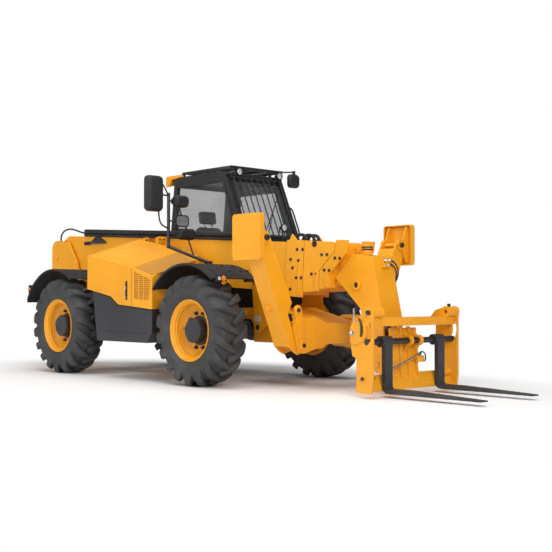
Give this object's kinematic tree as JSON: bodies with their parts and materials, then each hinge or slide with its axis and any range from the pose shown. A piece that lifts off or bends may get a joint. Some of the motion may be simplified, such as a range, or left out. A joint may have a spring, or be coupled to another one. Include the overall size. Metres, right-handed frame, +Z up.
{
  "type": "telehandler",
  "caption": "Rough-terrain telehandler with a four-section telescopic boom, pallet forks, a side cab and folding front stabilisers.",
  "frame": {"origin": "on the ground, in the middle of the machine's overall box", "axes": "+X forward along the forks, +Y to the driver's left, +Z up"},
  "size_m": [7.645, 2.62, 2.628],
  "materials": {
    "paint_yellow": "warm yellow gloss paint",
    "paint_black": "satin black paint",
    "paint_grey": "dark grey satin paint",
    "tyre": "dark rubber",
    "steel": "bright ground rod",
    "glass": "grey tinted glass",
    "plastic": "black moulded plastic",
    "cloth": "dark seat cloth",
    "lamp": "clear lamp lens and grey body"
  },
  "bodies": {
    "chassis": {"chassis_frame": "paint_yellow", "counterweight": "paint_yellow", "front_axle": "paint_grey", "rear_axle": "paint_grey", "engine_block": "paint_grey", "engine_skirt": "paint_grey", "side_tank": "paint_grey", "front_mudguards": "plastic", "rear_mudguards": "plastic", "cab_frame": "paint_black", "cab_roof": "paint_black", "cab_glass": "glass", "roof_guard": "paint_black", "seat": "cloth", "controls": "plastic", "mirror_stand": "paint_black", "mirrors": "plastic", "lamps": "lamp"},
    "bonnet": {"engine_cover": "paint_yellow"},
    "door": {"cab_door": "paint_black", "door_glass": "glass"},
    "knuckle_front_right": {"knuckle_fr": "paint_grey"},
    "wheel_front_right": {"rim_fr": "paint_yellow", "hub_fr": "paint_grey", "tyre_fr": "tyre"},
    "knuckle_front_left": {"knuckle_fl": "paint_grey"},
    "wheel_front_left": {"rim_fl": "paint_yellow", "hub_fl": "paint_grey", "tyre_fl": "tyre"},
    "knuckle_rear_right": {"knuckle_rr": "paint_grey"},
    "wheel_rear_right": {"rim_rr": "paint_yellow", "hub_rr": "paint_grey", "tyre_rr": "tyre"},
    "knuckle_rear_left": {"knuckle_rl": "paint_grey"},
    "wheel_rear_left": {"rim_rl": "paint_yellow", "hub_rl": "paint_grey", "tyre_rl": "tyre"},
    "boom": {"boom_outer": "paint_yellow", "hose_cover": "plastic", "tail_hose": "plastic"},
    "section_two": {"boom_second": "paint_yellow"},
    "section_three": {"boom_third": "paint_yellow"},
    "section_four": {"boom_nose": "paint_yellow", "nose_hoses": "plastic"},
    "lift_ram": {"lift_barrel": "paint_black"},
    "lift_piston": {"lift_rod": "steel"},
    "fork_carriage": {"carriage": "paint_yellow", "fork_shaft": "paint_black"},
    "tilt_ram": {"tilt_barrel": "paint_black"},
    "tilt_piston": {"tilt_rod": "steel"},
    "right_fork": {"fork_right": "paint_grey"},
    "left_fork": {"fork_left": "paint_grey"},
    "right_leg": {"leg_right": "paint_yellow"},
    "right_foot": {"foot_right": "paint_yellow"},
    "right_leg_ram": {"leg_barrel_right": "paint_black"},
    "right_leg_piston": {"leg_rod_right": "steel"},
    "left_leg": {"leg_left": "paint_yellow"},
    "left_foot": {"foot_left": "paint_yellow"},
    "left_leg_ram": {"leg_barrel_left": "paint_black"},
    "left_leg_piston": {"leg_rod_left": "steel"}
  },
  "joints": [
    {"name": "bonnet_lift", "type": "hinge", "parent": "chassis", "child": "bonnet", "pos_m": [-1.4175, -0.318, 1.722], "axis": [-1, 0, 0], "range_deg": [0, 60]},
    {"name": "door_swing", "type": "hinge", "parent": "chassis", "child": "door", "pos_m": [-1.3165, 1.166, 1.045], "axis": [0, 0, 1], "range_deg": [0, 85]},
    {"name": "steer_front", "type": "hinge", "parent": "chassis", "child": "knuckle_front_right", "pos_m": [0.4775, -0.69, 0.61], "axis": [0, 0, 1], "range_deg": [-30, 30]},
    {"name": "wheel_spin_front_right", "type": "hinge", "parent": "knuckle_front_right", "child": "wheel_front_right", "pos_m": [0.4775, -0.945, 0.61], "axis": [0, 1, 0], "continuous": true},
    {"name": "steer_front_left", "type": "hinge", "parent": "chassis", "child": "knuckle_front_left", "pos_m": [0.4775, 0.69, 0.61], "axis": [0, 0, 1], "range_deg": [-30, 30]},
    {"name": "wheel_spin_front_left", "type": "hinge", "parent": "knuckle_front_left", "child": "wheel_front_left", "pos_m": [0.4775, 0.945, 0.61], "axis": [0, 1, 0], "continuous": true},
    {"name": "steer_rear", "type": "hinge", "parent": "chassis", "child": "knuckle_rear_right", "pos_m": [-2.2725, -0.69, 0.61], "axis": [0, 0, 1], "range_deg": [-30, 30]},
    {"name": "wheel_spin_rear_right", "type": "hinge", "parent": "knuckle_rear_right", "child": "wheel_rear_right", "pos_m": [-2.2725, -0.945, 0.61], "axis": [0, 1, 0], "continuous": true},
    {"name": "steer_rear_left", "type": "hinge", "parent": "chassis", "child": "knuckle_rear_left", "pos_m": [-2.2725, 0.69, 0.61], "axis": [0, 0, 1], "range_deg": [-30, 30]},
    {"name": "wheel_spin_rear_left", "type": "hinge", "parent": "knuckle_rear_left", "child": "wheel_rear_left", "pos_m": [-2.2725, 0.945, 0.61], "axis": [0, 1, 0], "continuous": true},
    {"name": "boom_lift", "type": "hinge", "parent": "chassis", "child": "boom", "pos_m": [-3.6725, -0.05, 1.575], "axis": [0, -1, 0], "range_deg": [0, 70]},
    {"name": "boom_extend", "type": "slide", "parent": "boom", "child": "section_two", "axis": [0.9981, 0, -0.061], "range_m": [0, 3.6]},
    {"name": "extend_three", "type": "slide", "parent": "section_two", "child": "section_three", "axis": [0.9981, 0, -0.061], "range_m": [0, 3.6]},
    {"name": "extend_four", "type": "slide", "parent": "section_three", "child": "section_four", "axis": [0.9981, 0, -0.061], "range_m": [0, 3.6]},
    {"name": "lift_ram_swing", "type": "hinge", "parent": "chassis", "child": "lift_ram", "pos_m": [-3.2725, -0.05, 0.7], "axis": [0, -1, 0], "range_deg": [-1, 64]},
    {"name": "lift_ram_reach", "type": "slide", "parent": "lift_ram", "child": "lift_piston", "axis": [0.972, 0, 0.2352], "range_m": [-0.01, 1.1]},
    {"name": "carriage_tilt", "type": "hinge", "parent": "section_four", "child": "fork_carriage", "pos_m": [2.4075, -0.05, 0.3], "axis": [0, 1, 0], "range_deg": [-15, 100]},
    {"name": "tilt_ram_swing", "type": "hinge", "parent": "section_four", "child": "tilt_ram", "pos_m": [2.1175, -0.05, 1.1], "axis": [0, 1, 0], "range_deg": [-3, 6]},
    {"name": "tilt_ram_reach", "type": "slide", "parent": "tilt_ram", "child": "tilt_piston", "axis": [0.4985, 0, -0.8669], "range_m": [-0.06, 0.33]},
    {"name": "fork_right_shift", "type": "slide", "parent": "fork_carriage", "child": "right_fork", "axis": [0, 1, 0], "range_m": [-0.16, 0.16]},
    {"name": "fork_left_shift", "type": "slide", "parent": "fork_carriage", "child": "left_fork", "axis": [0, 1, 0], "range_m": [-0.16, 0.16]},
    {"name": "leg_right_fold", "type": "hinge", "parent": "chassis", "child": "right_leg", "pos_m": [1.5275, -0.547, 0.468], "axis": [1, 0, 0], "range_deg": [0, 79]},
    {"name": "foot_right_pitch", "type": "hinge", "parent": "right_leg", "child": "right_foot", "pos_m": [1.5275, -1.05085, 1.5736], "axis": [1, 0, 0], "range_deg": [-15, 15]},
    {"name": "leg_right_ram_swing", "type": "hinge", "parent": "chassis", "child": "right_leg_ram", "pos_m": [1.5275, -0.62, 0.69], "axis": [1, 0, 0], "range_deg": [-2, 95]},
    {"name": "leg_right_ram_reach", "type": "slide", "parent": "right_leg_ram", "child": "right_leg_piston", "axis": [0, -0.422, 0.9066], "range_m": [-0.01, 0.25]},
    {"name": "leg_left_fold", "type": "hinge", "parent": "chassis", "child": "left_leg", "pos_m": [1.5275, 0.547, 0.468], "axis": [-1, 0, 0], "range_deg": [0, 79]},
    {"name": "foot_left_pitch", "type": "hinge", "parent": "left_leg", "child": "left_foot", "pos_m": [1.5275, 1.05085, 1.5736], "axis": [-1, 0, 0], "range_deg": [-15, 15]},
    {"name": "leg_left_ram_swing", "type": "hinge", "parent": "chassis", "child": "left_leg_ram", "pos_m": [1.5275, 0.62, 0.69], "axis": [-1, 0, 0], "range_deg": [-2, 95]},
    {"name": "leg_left_ram_reach", "type": "slide", "parent": "left_leg_ram", "child": "left_leg_piston", "axis": [0, 0.422, 0.9066], "range_m": [-0.01, 0.25]}
  ],
  "couplings": [
    {"joint": "steer_front_left", "follows": "steer_front", "ratio": 1},
    {"joint": "steer_rear_left", "follows": "steer_rear", "ratio": 1},
    {"joint": "extend_three", "follows": "boom_extend", "ratio": 1},
    {"joint": "extend_four", "follows": "boom_extend", "ratio": 1},
    {"joint": "lift_ram_swing", "follows": "boom_lift", "ratio": 0.86},
    {"joint": "lift_ram_reach", "follows": "boom_lift", "m_per_rad": 0.8566},
    {"joint": "tilt_ram_swing", "follows": "carriage_tilt", "ratio": 0.017},
    {"joint": "tilt_ram_reach", "follows": "carriage_tilt", "m_per_rad": 0.1816},
    {"joint": "leg_right_ram_swing", "follows": "leg_right_fold", "ratio": 1.1607},
    {"joint": "leg_right_ram_reach", "follows": "leg_right_fold", "m_per_rad": 0.17236},
    {"joint": "leg_left_ram_swing", "follows": "leg_left_fold", "ratio": 1.1607},
    {"joint": "leg_left_ram_reach", "follows": "leg_left_fold", "m_per_rad": 0.17236}
  ]
}
